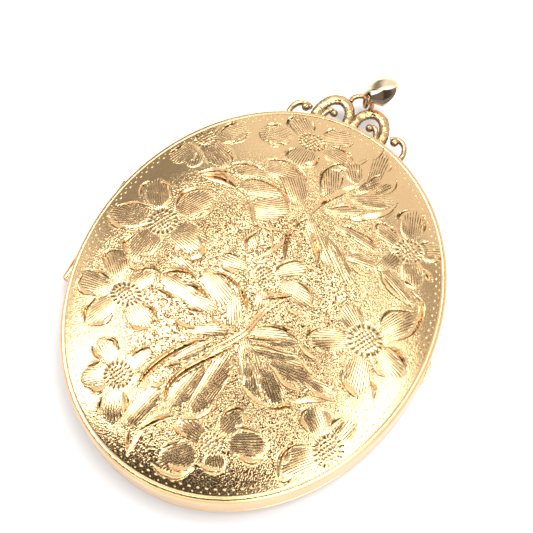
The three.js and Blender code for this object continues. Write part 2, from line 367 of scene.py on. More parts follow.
def acetate_sheet():
    """Clear sheet with faint scuffs."""
    material, tree, shader, place = start_material("acetate")
    scuffs = speckle(tree, place, 0.8, 5.0)
    feed(tree, shader, {
        "Base Color": (0.99, 0.985, 0.96, 1), "Transmission Weight": 1.0, "IOR": 1.45,
        "Roughness": ramp(tree, scuffs, 0.4, 0.75, 0.02, 0.12),
    })
    return material


def card_paper():
    """Blank card browned by age: soft fibres and clouds of tone."""
    material, tree, shader, place = start_material("card")
    clouds = ramp(tree, speckle(tree, place, 4.0, 5.0), 0.3, 0.7)
    fibres = speckle(tree, place, 0.15, 4.0)
    feed(tree, shader, {
        "Base Color": mix_colour(tree, clouds, (0.33, 0.27, 0.19, 1), (0.24, 0.19, 0.125, 1)),
        "Roughness": 0.85, "Normal": bump(tree, fibres, 0.02, 0.6),
    })
    return material


# ---------------------------------------------------------------- meshes

def mesh_object(name, points, faces, material, body, slot, replaced=()):
    """An object from points in millimetres, riding on its body. The slot argument is not used."""
    mesh = bpy.data.meshes.new(name)
    mesh.from_pydata((np.asarray(points, float) * MM).tolist(), [], faces)
    mesh.validate()
    mesh.materials.append(material)
    made = bpy.data.objects.new(name, mesh)
    scene.collection.objects.link(made)
    smooth(mesh)
    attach(made, body)
    if replaced:
        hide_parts(*replaced)
    return made


def smooth(mesh, sharp_degrees=35):
    """Smooth shading, with edges kept crisp where the surface turns."""
    mesh.polygons.foreach_set("use_smooth", [True] * len(mesh.polygons))
    mesh.set_sharp_from_angle(angle=math.radians(sharp_degrees))


def set_evaluated(piece):
    """Replaces a piece's mesh by what its modifiers make of it, and removes them."""
    shaped = piece.evaluated_get(bpy.context.evaluated_depsgraph_get())
    mesh = bpy.data.meshes.new_from_object(shaped)
    piece.modifiers.clear()
    piece.data = mesh
    return mesh


def skin_faces(rows, steps, closed=True):
    """Quads between rings of steps points; closed joins the last ring to the first."""
    faces = []
    for row in range(rows if closed else rows - 1):
        after = (row + 1) % rows
        for i in range(steps):
            j = (i + 1) % steps
            faces.append((row * steps + i, row * steps + j, after * steps + j, after * steps + i))
    return faces


def oval_ring(rows, steps):
    """Points and quads of a closed profile of (radius, z) rows, turned into an oval ring."""
    turn = np.arange(steps) * 2 * math.pi / steps
    points = [
        (radius * math.cos(a), radius * math.sin(a) * STRETCH, z) for radius, z in rows for a in turn
    ]
    return points, skin_faces(len(rows), steps)


def oval_cup(rows, steps):
    """Points and faces of a profile that starts and ends on the axis, turned into a closed oval solid."""
    points, _ = oval_ring(rows[1:-1], steps)
    inner = len(rows) - 2
    faces = skin_faces(inner, steps, closed=False)
    points += [(0, 0, rows[0][1]), (0, 0, rows[-1][1])]
    first, last = len(points) - 2, len(points) - 1
    for i in range(steps):
        j = (i + 1) % steps
        faces.append((first, j, i))
        faces.append((last, (inner - 1) * steps + i, (inner - 1) * steps + j))
    return points, faces


def together(*parts):
    """Several sets of points and faces as one."""
    points, faces = [], []
    for more_points, more_faces in parts:
        base = len(points)
        points += list(more_points)
        faces += [tuple(base + i for i in face) for face in more_faces]
    return points, faces


def face_outwards(piece):
    """Turns all faces of a closed mesh outwards."""
    work = bmesh.new()
    work.from_mesh(piece.data)
    bmesh.ops.recalc_face_normals(work, faces=work.faces)
    work.to_mesh(piece.data)
    work.free()


def relieve_for_hinge(piece):
    """Cuts the round recess that the knuckles turn in."""
    bpy.ops.mesh.primitive_cylinder_add(
        vertices=48, radius=HINGE_RELIEF * MM, depth=HINGE_RECESS * MM,
        location=(HINGE_X * MM, 0, SEAM_Z * MM), rotation=(math.pi / 2, 0, 0),
    )
    cutter = bpy.context.object
    recess = piece.modifiers.new("recess", "BOOLEAN")
    recess.operation = "DIFFERENCE"
    recess.solver = "EXACT"
    recess.object = cutter
    mesh = set_evaluated(piece)
    bpy.data.objects.remove(cutter)
    smooth(mesh)


# ---------------------------------------------------------------- the engraving

# Each cut is its greatest width and then its line of points. Cuts taper to both ends.
CUTS = (
    # The top flower.
    (0.42, (-5.6, 23.2), (-6.4, 22.3), (-6.25, 21.5), (-5.6, 21)),
    (0.4, (-3.7, 23), (-3.2, 22.4), (-2.8, 21.7)),
    (0.42, (-0.6, 23.3), (-1.3, 22.7), (-1.65, 21.8)),
    (0.36, (2.1, 22.4), (1.8, 21.7), (1, 21)),
    (0.36, (0.2, 20.6), (1.4, 20.65), (2.6, 20.3), (3.3, 19.5)),
    (0.4, (-3.7, 18.4), (-4.25, 17.6), (-4.3, 16.7)),
    (0.5, (-0.75, 18.5), (-0.75, 17.3), (-1.8, 16.6)),
    (0.4, (-8.4, 20.2), (-7.5, 20.75), (-6.6, 20.95)),
    (0.42, (-7.4, 17.9), (-6.4, 17.75), (-5, 18.35)),
    (0.3, (1.2, 17.3), (2.0, 17.5), (3.0, 18.0)),
    # The upper left flower.
    (0.42, (-11.9, 19.1), (-12.75, 18.2), (-13, 16.9)),
    (0.38, (-10.1, 17.9), (-10.05, 17.1), (-10.5, 16.3)),
    (0.3, (-11.9, 15.3), (-11.2, 15.8), (-10.6, 16.25)),
    (0.36, (-11.7, 14.75), (-10.5, 14.3), (-9.8, 13.5), (-9.65, 12.7)),
    (0.34, (-13.2, 12.9), (-12.7, 12.2), (-11.8, 11.6)),
    (0.34, (-16.2, 13.5), (-16.7, 12.7), (-17.2, 11.5)),
    (0.4, (-14.2, 12.9), (-13.9, 12), (-14.2, 11.3)),
    (0.34, (-15.3, 16.3), (-14.4, 17.0), (-13.7, 17.1)),
    # The left flower.
    (0.46, (-9.5, 8.8), (-11.2, 8.4), (-12.5, 7.3), (-12.95, 6), (-12.5, 4.6)),
    (0.36, (-9.3, 8.1), (-8.75, 6.9), (-8.8, 5.8), (-9.7, 4.2)),
    (0.4, (-16.1, 7.35), (-14.8, 7.15), (-13.9, 6.1)),
    (0.36, (-17.2, 7.1), (-17.8, 6.3), (-17.6, 5.2), (-17, 4.6)),
    (0.4, (-19.4, 2.3), (-18.2, 3.2), (-17.2, 3.7), (-16, 3.8)),
    (0.46, (-19.5, 1.1), (-18.7, 0.35), (-17.7, 0.05), (-16.8, 0.3)),
    (0.6, (-8.8, 2.6), (-7.6, 1.8), (-7, 0.6), (-7.9, -0.5), (-9.6, -0.75)),
    (0.42, (-15.2, -0.1), (-15.85, -1.3), (-15.6, -2.2), (-14.8, -2.8)),
    (0.42, (-12, -0.7), (-12.3, -1.8), (-13.4, -2.5)),
    # The lower left flower.
    (0.42, (-15.5, -2.6), (-16.9, -3.1), (-17.2, -4), (-16.5, -4.8), (-15.6, -5.6)),
    (0.4, (-17.7, -6.2), (-16.5, -5.95), (-15.2, -6.25)),
    (0.46, (-18.4, -6.8), (-18.3, -8), (-17.3, -8.8), (-15.6, -8.7)),
    (0.42, (-15.5, -8.9), (-15.8, -10.4), (-15.2, -12.1)),
    (0.42, (-12.7, -9.8), (-12.8, -10.8), (-13.4, -11.5), (-14.6, -12.2)),
    (0.34, (-14, -4.3), (-12.7, -4.1), (-11.7, -3.35), (-10.3, -3.4), (-9.9, -4.3)),
    (0.36, (-9.8, -7.7), (-8.8, -7.8), (-7.7, -8.6)),
    (0.38, (-10.3, -10.3), (-9.3, -10.45), (-8.1, -9.9)),
    # The foot flower.
    (0.4, (-12, -12.9), (-11, -12.65), (-9.9, -13.4)),
    (0.34, (-13, -14.1), (-12.2, -14.8), (-11.2, -15.1)),
    (0.4, (-12.3, -16.3), (-11.8, -15.8), (-11.2, -15.35)),
    (0.5, (-11, -18.3), (-10, -18.25), (-9.2, -17.5)),
    (0.36, (-9.2, -18.5), (-8.9, -19.8), (-8.2, -20.8)),
    (0.5, (-7.2, -17.4), (-6.4, -18.2), (-6.1, -19.3)),
    (0.42, (-8.3, -13.5), (-7.8, -12.4), (-6.9, -11.7)),
    # The bottom flower.
    (0.44, (3.6, -16.2), (3.8, -14.6), (4.9, -13.7), (5.8, -14.4), (5.9, -15.8)),
    (0.34, (5.1, -15.8), (6.6, -15.25), (8.1, -15.1)),
    (0.5, (6.6, -18.3), (8.3, -18.2), (9.6, -17.2)),
    (0.4, (3.4, -20.6), (4.6, -20.85), (6.4, -20.2)),
    (0.42, (-1.2, -22.8), (0.7, -23.2), (2.3, -22.8), (3.4, -21.2)),
    (0.42, (0.6, -22.1), (1.8, -22.15), (3, -21.6)),
    (0.36, (-0.8, -21), (0, -20.1), (0.8, -19.4)),
    (0.5, (-0.6, -18.3), (0.2, -18.7), (1.2, -18.9)),
    # The centre flower.
    (0.36, (2, 0.3), (2.15, -0.8), (1.6, -1.8)),
    (0.56, (2.2, -1.3), (3.2, -0.5), (4.4, 0.2)),
    (0.38, (4, 2), (5.3, 1.8), (6.3, 1.2), (6.8, -0.1)),
    (0.38, (4.2, -1.2), (5.3, -1.6), (6.4, -1.2)),
    (0.36, (1.4, 2.1), (1.7, 3.2), (2.7, 4.2), (3.9, 4.5)),
    (0.36, (4.2, 4.25), (5.0, 4.2), (5.8, 4.3)),
    (0.34, (-1, -1.6), (-0.2, -2.3), (0.8, -3.6)),
    (0.34, (-4.9, 1.7), (-4.1, 2.0), (-3, 1.9)),
    (0.42, (-4.2, 0), (-3.2, 0.0), (-2.2, 0.4)),
    (0.4, (-2.5, 6.1), (-3.2, 4.4), (-2.8, 3.5), (-2.2, 3)),
    (0.34, (-1.1, 6), (-0.7, 5.7), (-0.5, 5.2)),
    # The right flower.
    (0.46, (16.2, 6.8), (17.5, 6.2), (18, 4.7), (17.8, 2.4), (16.7, 0.7)),
    (0.36, (14.5, 1.4), (14.25, 2.5), (14.8, 3.7), (16.2, 4.4), (17.3, 4.8)),
    (0.36, (11.1, 2.4), (12, 1.7), (12.8, 0.6)),
    (0.4, (8.7, 0.2), (9.2, -0.8), (10.2, -1.3)),
    (0.38, (8.7, -1.7), (8, -2.6), (7.7, -3.6)),
    (0.3, (11.7, -3.9), (11.5, -4.4), (11.2, -4.9)),
    (0.46, (16.1, -0.3), (17.3, -0.5), (18.2, -1), (19.1, -1.9)),
    (0.36, (15.6, -3.2), (16.5, -3.6), (17.3, -3.5)),
    (0.34, (12.8, -4.7), (12.9, -5.6), (13.3, -6.3)),
    (0.6, (13.1, -6.1), (14.1, -6.6), (15.6, -7.2)),
    (0.4, (15.8, -4.6), (16.7, -5.5), (17.1, -6.5)),
    # The upper right flower.
    (0.38, (11.8, 16.6), (11.2, 16.1), (10.9, 15.2), (11.7, 13.9)),
    (0.46, (13.1, 16.9), (13.9, 15.8), (14.3, 14.4)),
    (0.4, (14.4, 12.8), (14.8, 13.3), (15.3, 13.8)),
    (0.36, (17, 13.7), (17.2, 12.6), (16.7, 11.7), (15.4, 11.1)),
    (0.42, (10.6, 13.3), (11.1, 13.15), (11.6, 12.8)),
    (0.3, (10.7, 13.3), (9.6, 13.3), (9.1, 12.8), (9.4, 12.1)),
    (0.34, (11.6, 10.5), (12.2, 10.45), (12.9, 10.7)),
    (0.42, (15.9, 10.2), (16.7, 9.8), (17.6, 9.2)),
    (0.34, (14.2, 7.7), (15, 7.75), (15.8, 7.6)),
    (0.34, (7.6, 8.2), (8.7, 8.35), (9.9, 8.6)),
    # The lower right flower.
    (0.5, (11.5, -10.4), (10.85, -11.2), (11.2, -12.1), (12.6, -12.9)),
    (0.38, (12.9, -9.9), (13.6, -10.5), (14.1, -11.3)),
    (0.34, (14.9, -9.8), (14.3, -10.4), (14.1, -11.2)),
    (0.4, (12.9, -14), (11.5, -14.8), (10.9, -16.2), (11.2, -17.7), (11.9, -18.9)),
    (0.5, (11.3, -15.6), (11.35, -16.1), (11.7, -16.6)),
    (0.42, (11.6, -18.2), (12.1, -18.6), (12.7, -18.2)),
    # The upper leaf.
    (0.62, (1.8, 10.2), (2.3, 12.2), (3.1, 13.8), (4, 15.2), (5.2, 16.7), (5.75, 18), (5.6, 19)),
    (0.36, (3.2, 19.2), (4, 19.8), (4.7, 21.1)),
    (0.4, (5.05, 21), (5.5, 21.9), (5.7, 23.5)),
    (0.32, (3.2, 19.25), (1.6, 18.3), (0.75, 16.7), (1, 15.2), (1.8, 13.6)),
    (0.3, (2.9, 17.3), (3.15, 16.3), (3.3, 15.2)),
    (0.26, (4.1, 18.8), (4.5, 18.2), (4.8, 17.6)),
    (0.3, (5, 14.9), (5.8, 15.7), (6.6, 16.6)),
    (0.36, (8.7, 19.9), (9, 18.9), (8.7, 17.8), (7.9, 16.7)),
    (0.3, (5.9, 17.4), (6.3, 18.7), (7.1, 19.6)),
    (0.26, (7.4, 20.4), (7.5, 21), (7.3, 21.5)),
    (0.6, (10.2, 16.8), (9.7, 15.2), (8.8, 14), (7.8, 13.2), (6.8, 12.3), (5.4, 11.95)),
    (0.36, (3.5, 12.1), (4.8, 13.3), (6.6, 13.8)),
    (0.38, (5.3, 10.7), (6.7, 10.9), (8.3, 10.9), (9.8, 10.6), (11.1, 9.6)),
    (0.3, (5.2, 9.5), (6.5, 9.75), (7.7, 10)),
    (0.46, (3.3, 9.55), (4.1, 9.4), (5, 9.3)),
    (0.56, (2.7, 8.6), (3.8, 7.3), (4.7, 6.2), (5.2, 4.8)),
    (0.32, (5.6, 7.8), (7, 6.7), (8.3, 5.3), (9.1, 4.6)),
    (0.42, (11.2, 8.2), (12.2, 7), (13.5, 6), (15, 5.5), (16.8, 5.2)),
    (0.36, (8.6, 6.6), (9.7, 6.2), (10.8, 6.2)),
    (0.38, (-6.2, 15.1), (-4.5, 16), (-3, 16), (-1.3, 15.2), (-0.1, 13.9)),
    (0.4, (-9.8, 12.7), (-8.2, 13.7), (-6.9, 13.85), (-5.6, 13.6)),
    (0.42, (-7.2, 11.6), (-5.7, 12.2), (-4, 12.25), (-2.3, 11.8), (-1.2, 10.7), (-0.2, 9.7)),
    (0.5, (-12.6, 10.2), (-11.2, 11.2), (-9.8, 11.75), (-8.6, 11.85)),
    (0.9, (-12, 10.1), (-10.3, 10.75), (-9, 10.8), (-7.5, 10.2)),
    (0.4, (-8.6, 9.9), (-7.3, 9.95), (-6, 9.75), (-5, 8.8), (-4, 7.5), (-3.2, 6.7), (-2, 6.6), (0.6, 7.45)),
    (0.5, (1, 8.1), (0.6, 5.8), (-0.2, 4), (-1.4, 2.3)),
    (0.46, (0.7, 8), (0.85, 6.5), (1.2, 5.2), (1.8, 3.7)),
    (0.3, (2.1, 6.9), (2.7, 5.7), (3.5, 4.7)),
    # The lower leaf.
    (0.56, (-10.1, -3.5), (-8.8, -2.5), (-7.5, -2.1), (-6.1, -2.5)),
    (0.4, (-7.1, -3.6), (-5.8, -3.4), (-4.7, -3.6), (-3.7, -4.1)),
    (0.34, (-5.1, -1.4), (-4, -0.8), (-2.7, -0.9), (-1.2, -1.5), (0, -2.5), (0.8, -3.8)),
    (0.36, (-2.7, -5.6), (-1.8, -6.2), (-0.5, -6.35), (1.1, -6.2)),
    (0.36, (-6.4, -7.6), (-5.3, -8), (-4.3, -8), (-3.2, -7.6)),
    (0.34, (-9.6, -5.4), (-8.4, -5.4), (-7.3, -5.8)),
    (0.34, (-5.7, -6.2), (-4.6, -5.9), (-3.4, -5.8)),
    (0.6, (-1.2, -8.2), (-2.8, -9.2), (-4, -10.5), (-5, -12), (-5.7, -13.5), (-6.1, -15), (-6.2, -16.7)),
    (0.6, (1.1, -8), (-0.7, -10.3), (-2, -12), (-2.8, -13.5), (-3.1, -15), (-2.6, -16.9)),
    (0.5, (-0.9, -17.2), (-2.3, -18.2), (-3.2, -19.3), (-3.9, -20.5)),
    (0.34, (-4.8, -20.4), (-4.3, -21.8), (-3.8, -22.9)),
    (0.34, (-3.3, -20), (-3.5, -21.6), (-3.8, -22.9)),
    (0.5, (-4.9, -15.6), (-4.2, -15.2), (-3.7, -14.6)),
    (0.4, (-4.7, -13.2), (-3.7, -12.4), (-2.9, -11.9)),
    (0.38, (2.5, -4.8), (3.7, -4.1), (5.2, -3.8), (6.7, -4.1), (7.7, -4.8)),
    (0.56, (7.5, -4.7), (8.8, -5.2), (10.1, -5.25)),
    (0.44, (2, -6.5), (3.7, -5.8), (5.6, -5.15)),
    (0.3, (2.2, -7.2), (4, -6.5), (5.8, -6.3), (7.5, -6)),
    (0.46, (8.4, -6.1), (9.3, -6.7), (10.6, -7.2)),
    (0.4, (10.5, -8.6), (11.7, -8.8), (13.6, -8.6)),
    (0.42, (5.3, -8), (6.3, -8.4), (7.2, -9), (8.3, -9.4), (10.1, -9.2)),
    (0.42, (8.7, -10.8), (10, -10.5), (11, -9.8), (12.9, -8.9)),
    (0.44, (3.8, -11.3), (5, -12), (6.3, -12.3), (7.4, -12.2)),
    (0.56, (7.2, -12.4), (8.3, -12), (9.2, -11.3), (10.1, -11.5)),
    (0.4, (-0.5, -17.4), (1, -16.7), (1.9, -15.7), (2.2, -14.6)),
    (0.34, (2, -8.5), (3, -10), (4.2, -11.4)),
    (0.34, (2.9, -8.2), (4.6, -9.5), (6.2, -11.3)),
    # The stem.
    (0.3, (4.4, 0.2), (3.2, -1.6), (2.4, -3.4), (1.9, -5.7), (1, -7.5), (-0.2, -9.2), (-1.2, -10.6)),
    (0.26, (3.4, -0.8), (2.6, -1.8), (2, -3.6), (1.5, -5.6), (0.6, -7.2), (-0.6, -8.9), (-1.6, -10)),
    (0.3, (1.9, 9.9), (1.2, 9), (1, 8)),
    (0.44, (2.3, 12.3), (2.7, 12.9), (3.2, 13.7)),
)

# Flowers: middle, half sizes of the heart, and the petals, each a middle, half length and half width.
# The lines on a petal run out from the heart.
FLOWERS = (
    ((-2.3, 20.1), (1.5, 1.1), (
        ((-4.4, 21.9), 1.7, 1.15), ((0.1, 22), 1.9, 1.15), ((-2.4, 17.6), 1.4, 1.5),
        ((-6.6, 19.3), 1.8, 1.35), ((1.5, 19.4), 1.9, 1.0),
    )),
    ((-14.2, 15.2), (1.2, 1.1), (
        ((-11.5, 17.2), 1.9, 1.3), ((-11.5, 13.7), 1.9, 1.35), ((-15.5, 12.4), 1.7, 1.2),
        ((-14, 12), 1.2, 1.0), ((-14.6, 17.2), 0.9, 0.9),
    )),
    ((-13.2, 2.6), (1.5, 1.5), (
        ((-10.9, 6.1), 2.3, 1.6), ((-9.6, 1.9), 2.3, 1.7), ((-13.6, -0.8), 2.1, 1.6),
        ((-17.3, 1.9), 2.2, 1.4), ((-15.6, 5.8), 1.9, 1.3),
    )),
    ((-12.5, -7.3), (1.6, 1.2), (
        ((-15.3, -4.2), 1.8, 1.3), ((-16.7, -7.4), 2.0, 1.1), ((-14.1, -10.1), 1.8, 1.25),
        ((-11.5, -4.9), 1.5, 1.1), ((-9.9, -9), 1.8, 1.2),
    )),
    ((-8.7, -15.9), (1.4, 1.3), (
        ((-10.9, -17.1), 1.3, 1.1), ((-7.5, -13.6), 1.5, 1.1), ((-11, -14), 1.5, 1.0),
        ((-7.5, -18.9), 1.6, 1.1),
    )),
    ((3.8, -18.3), (1.1, 1.0), (
        ((4.7, -15.3), 1.6, 1.1), ((7.2, -16.8), 1.9, 1.25), ((5, -20), 1.0, 1.0), ((1.3, -21), 1.8, 1.4),
        ((1.5, -18), 1.6, 1.0),
    )),
    ((0.5, 1.2), (1.0, 0.9), (
        ((4.9, 0.7), 2.2, 1.3), ((3, 3.1), 1.6, 1.0), ((-2.9, 4.3), 1.2, 0.9), ((-3.2, 1), 1.5, 0.9),
        ((1.6, -1.7), 1.1, 0.8),
    )),
    ((13.7, -0.9), (1.7, 1.6), (
        ((16.1, 2.8), 2.1, 1.4), ((11.2, 0.8), 1.4, 1.2), ((10.2, -2.7), 2.0, 1.3), ((17, -1.9), 1.7, 1.2),
        ((14.4, -4.9), 1.9, 1.5),
    )),
    ((13.8, 11.5), (1.4, 1.3), (
        ((12.8, 14.9), 1.9, 1.2), ((15.9, 12.7), 1.4, 1.0), ((11.1, 12.1), 1.5, 0.9),
        ((15.2, 9.1), 1.6, 1.1),
    )),
    ((15, -13.6), (1.3, 1.6), (
        ((12.4, -11.4), 1.4, 1.1), ((12.4, -16.1), 1.9, 1.3), ((15.7, -11), 1.4, 0.8),
    )),
)

# Hatching on the leaves: centre, half length along the lines, half width, direction of the lines in
# degrees, and True where a second set crosses them.
HATCHES = (
    ((2.1, 15.9), 2.4, 1.0, 114), ((4.1, 18.3), 1.4, 0.9, 120), ((6.3, 20.3), 2.3, 0.9, 96),
    ((6.2, 17.4), 1.5, 0.6, 55, True), ((8, 17.8), 1.2, 0.55, 60, True), ((7.6, 15.7), 2.2, 1.0, 26),
    ((5.2, 13), 1.9, 0.8, 30), ((-1.7, 13.4), 3.0, 1.4, 130), ((-4.6, 11.1), 2.8, 1.1, 16),
    ((-6.8, 12.7), 1.8, 0.7, 12), ((-3.6, 14.5), 2.0, 0.9, 8), ((-2.8, 9), 2.6, 1.4, 32),
    ((4.1, 7.9), 3.2, 1.1, -46), ((7.2, 6.5), 3.2, 0.8, -40), ((7.9, 10.2), 2.5, 0.7, -6),
    ((12.3, 9), 1.7, 0.9, 72), ((14, 6.8), 2.4, 0.7, -24), ((9.3, 7.6), 1.8, 0.7, 10),
    ((-7.4, -4.3), 2.6, 0.9, -12), ((-0.6, -4.2), 1.9, 0.8, -62), ((-3.5, -2.6), 2.4, 1.1, -30),
    ((-1.7, -7.3), 2.4, 0.8, 24), ((-2.7, -10.1), 2.4, 1.0, 52), ((-1.4, -13.8), 3.1, 1.3, 78),
    ((0.9, -12.8), 3.7, 1.3, 84), ((-4.5, -17.6), 2.7, 1.0, 74), ((4, -9.4), 3.4, 1.1, -52),
    ((6.8, -10.1), 2.4, 1.0, -44), ((4.7, -5.2), 3.0, 1.0, 18), ((7.9, -7.6), 2.6, 1.2, 4),
    ((5.4, -6.8), 2.6, 0.7, 14), ((-8.6, -1.2), 1.7, 0.6, -20), ((-4.4, -5), 1.8, 0.9, -4),
    ((4.6, -10.8), 1.6, 1.0, -62), ((11.4, -7.9), 1.4, 0.6, 0),
)
# The pricked ground is deepest round the middle of the oval and fades to plain metal at the edges.
PRICKED_MIDDLE = -3
PRICKED_HALF = (20, 21)
# Painted shade darkens the cut walls that face this way; walls that face across it get a little of the same
# darkening.
SHADED_SIDE = np.array([-0.64, 0.77])
HEART_TICKS = 18
HEART_BOSS = 0.1
HEART_DEPTH = 0.11
# How dark the dents in the flowers' hearts are drawn.
HEART_DENT_DARKENING = 0.95
HEART_PITCH = 0.62
CUT_SLOPE = 0.8
CUT_LEAN = 0.35
CUT_SPREAD = 1.3
CUT_BURR = 0.1
PILLOW = 0.09
PATCH_FAN = 0.22
PATCH_RAGGED = 0.1
RAGGED_WAVE = 23.0


def disc_grid(cells):
    """An even square grid bent onto the unit disc: its points, its quads and its rim in order."""
    side = np.linspace(-1, 1, cells + 1)
    a, b = np.meshgrid(side, side)
    tall = np.abs(b) > np.abs(a)
    radius = np.where(tall, b, a)
    other = np.where(tall, a, b)
    share = np.divide(other, radius, out=np.zeros_like(a), where=radius != 0)
    angle = np.where(tall, math.pi / 2 - share * math.pi / 4, share * math.pi / 4)
    index = np.arange((cells + 1) ** 2).reshape(cells + 1, cells + 1)
    quads = np.stack([index[:-1, :-1], index[:-1, 1:], index[1:, 1:], index[1:, :-1]], -1).reshape(-1, 4)
    rim = np.concatenate([index[0, :-1], index[:-1, -1], index[-1, :0:-1], index[:0:-1, 0]])
    return (radius * np.cos(angle)).ravel(), (radius * np.sin(angle)).ravel(), quads, rim


def smooth_line(points, steps):
    """A Catmull-Rom curve through the points."""
    p = np.array(points, float)
    p = np.vstack([2 * p[0] - p[1], p, 2 * p[-1] - p[-2]])
    made = []
    for i in range(len(p) - 3):
        t = np.linspace(0, 1, steps, endpoint=False)[:, None]
        a, b, c, d = p[i : i + 4]
        bend = (2 * a - 5 * b + 4 * c - d) * t**2
        made.append(0.5 * (2 * b + (c - a) * t + bend + (3 * b - a - 3 * c + d) * t**3))
    return np.vstack([*made, p[-2][None]])


def along_line(x, y, line):
    """For each point: its signed distance from the line, how far along its nearest point is, and the
    line's left there."""
    start, run = line[:-1], np.diff(line, axis=0)
    length = np.hypot(run[:, 0], run[:, 1])
    before = np.concatenate([[0], np.cumsum(length)[:-1]])
    dx = x[:, None] - start[:, 0]
    dy = y[:, None] - start[:, 1]
    t = np.clip((dx * run[:, 0] + dy * run[:, 1]) / length**2, 0, 1)
    away = np.hypot(dx - t * run[:, 0], dy - t * run[:, 1])
    nearest = away.argmin(1)
    pick = np.arange(len(x)), nearest
    side = np.sign(run[nearest, 0] * dy[pick] - run[nearest, 1] * dx[pick])
    along = (before[nearest] + t[pick] * length[nearest]) / length.sum()
    left = np.stack([-run[nearest, 1], run[nearest, 0]], -1) / length[nearest, None]
    return away[pick] * side, along, left


def outer_side(line):
    """1 or -1, for the side that a curve bulges to: a cut's steep wall is on that side."""
    run = np.diff(line, axis=0)
    turning = run[:-1, 0] * run[1:, 1] - run[:-1, 1] * run[1:, 0]
    return -1 if turning.sum() > 0 else 1


def hatch_patches():
    """All hatched patches: centre, half length, half width, direction in radians, and whether crossed."""
    for heart, _, petals in FLOWERS:
        for middle, half_length, half_width in petals:
            direction = math.atan2(middle[1] - heart[1], middle[0] - heart[0])
            yield middle, half_length, half_width, direction, False
    for middle, half_length, half_width, degrees, *crossed in HATCHES:
        yield middle, half_length, half_width, math.radians(degrees), bool(crossed)


def heart_relief(x, y, radii):
    """A flower's heart, a low boss with a ring of ticks round a lattice of pricks: its relief, how far it
    covers what lies under it, and its dents."""
    reach = np.hypot(x / radii[0], y / radii[1])
    angle = np.arctan2(y / radii[1], x / radii[0])
    tick = np.clip(0.3 + 1.2 * np.cos(angle * HEART_TICKS), 0, 1)
    ring = np.clip(1.3 - 1.3 * ((reach - 1.0) / 0.2) ** 2, 0, 1)
    wave = 2 * math.pi / HEART_PITCH
    lattice = np.clip(np.sin((x + 0.3 * y) * wave) * np.sin((y - 0.2 * x) * wave) * 1.6, 0, 1)
    inside = np.clip((0.78 - reach) / 0.1, 0, 1)
    dent = np.maximum(tick * ring, lattice * inside)
    relief = HEART_BOSS * np.clip(1.3 - reach, 0, 1) - HEART_DEPTH * dent
    return relief, np.clip((1.35 - reach) / 0.15, 0, 1), dent


def engrave(x, y):
    """The relief of the engraving at the points, and the fields that the gold's material reads."""
    height, cut, lines, grid, grime_and_shade, hearts = (np.zeros_like(x) for _ in range(6))
    hatch = np.zeros((len(x), 3))
    for centre, half_length, half_width, turn, crossed in hatch_patches():
        dx, dy = x - centre[0], y - centre[1]
        u = dx * math.cos(turn) + dy * math.sin(turn)
        v = dy * math.cos(turn) - dx * math.sin(turn)
        spread = v * (1 - PATCH_FAN * u / half_length)
        reach = np.hypot(u / half_length, v / half_width)
        ragged = reach + PATCH_RAGGED * np.sin(v * RAGGED_WAVE) * np.abs(u) / half_length
        inside = reach < 1.25
        amount = np.clip((1.08 - ragged[inside]) / 0.12, 0, 1)
        stronger = amount >= lines[inside]
        at = np.flatnonzero(inside)[stronger]
        hatch[at, 0] = spread[at]
        hatch[at, 1] = u[at]
        lines[at] = amount[stronger]
        grid[at] = amount[stronger] if crossed else 0
        pillow = PILLOW * np.clip(1 - (reach[inside] / 1.2) ** 2, 0, 1) ** 0.6
        height[inside] = np.maximum(height[inside], pillow)
    for width, *points in CUTS:
        line = smooth_line(points, 8)
        width *= CUT_SPREAD
        near = (
            (x > line[:, 0].min() - width) & (x < line[:, 0].max() + width)
            & (y > line[:, 1].min() - width) & (y < line[:, 1].max() + width)
        )
        distance, along, left = along_line(x[near], y[near], line)
        distance *= outer_side(line)
        half = width / 2 * np.clip(np.sin(math.pi * along), 0, 1) ** 0.7 + 1e-6
        across = distance / half
        steep = np.where(across > CUT_LEAN, (1 - across) / (1 - CUT_LEAN), (1 + across) / (1 + CUT_LEAN))
        depth = CUT_SLOPE * half * np.clip(steep, 0, 1)
        burr = CUT_BURR * half * np.exp(-(((np.abs(across) - 1.15) / 0.25) ** 2))
        height[near] += burr - depth
        # Painted shade: cut walls that face one side are darkened, and walls that face across it a little.
        facing = -np.sign(across - CUT_LEAN) * outer_side(line) * (left @ SHADED_SIDE)
        wall = np.clip(steep * 3, 0, 1) * (half > 0.03)
        grime_and_shade[near] = np.maximum(grime_and_shade[near], wall * np.clip(facing * 1.5 + 0.15, 0, 1))
        cut[near] = np.maximum(cut[near], wall)
    for centre, radii, _ in FLOWERS:
        relief, cover, dent = heart_relief(x - centre[0], y - centre[1], radii)
        height += relief * cover
        hearts = np.maximum(hearts, cover)
        # Inside the hearts, the darkening follows the dents.
        grime_and_shade = np.where(cover > 0, HEART_DENT_DARKENING * dent * cover, grime_and_shade)
    free = (1 - cut) * (1 - hearts)
    lines *= free
    grid *= free
    away = np.hypot(x / PRICKED_HALF[0], (y - PRICKED_MIDDLE) / PRICKED_HALF[1])
    ground = np.clip(free - lines, 0, 1) * np.interp(away, (0.55, 0.75, 1.0), (1.0, 0.5, 0.06))
    return height, dict(zip(FIELDS, (cut, lines, grid, ground, grime_and_shade))), hatch


GRID_CELLS = 420
EDGE_FADE = 1.2


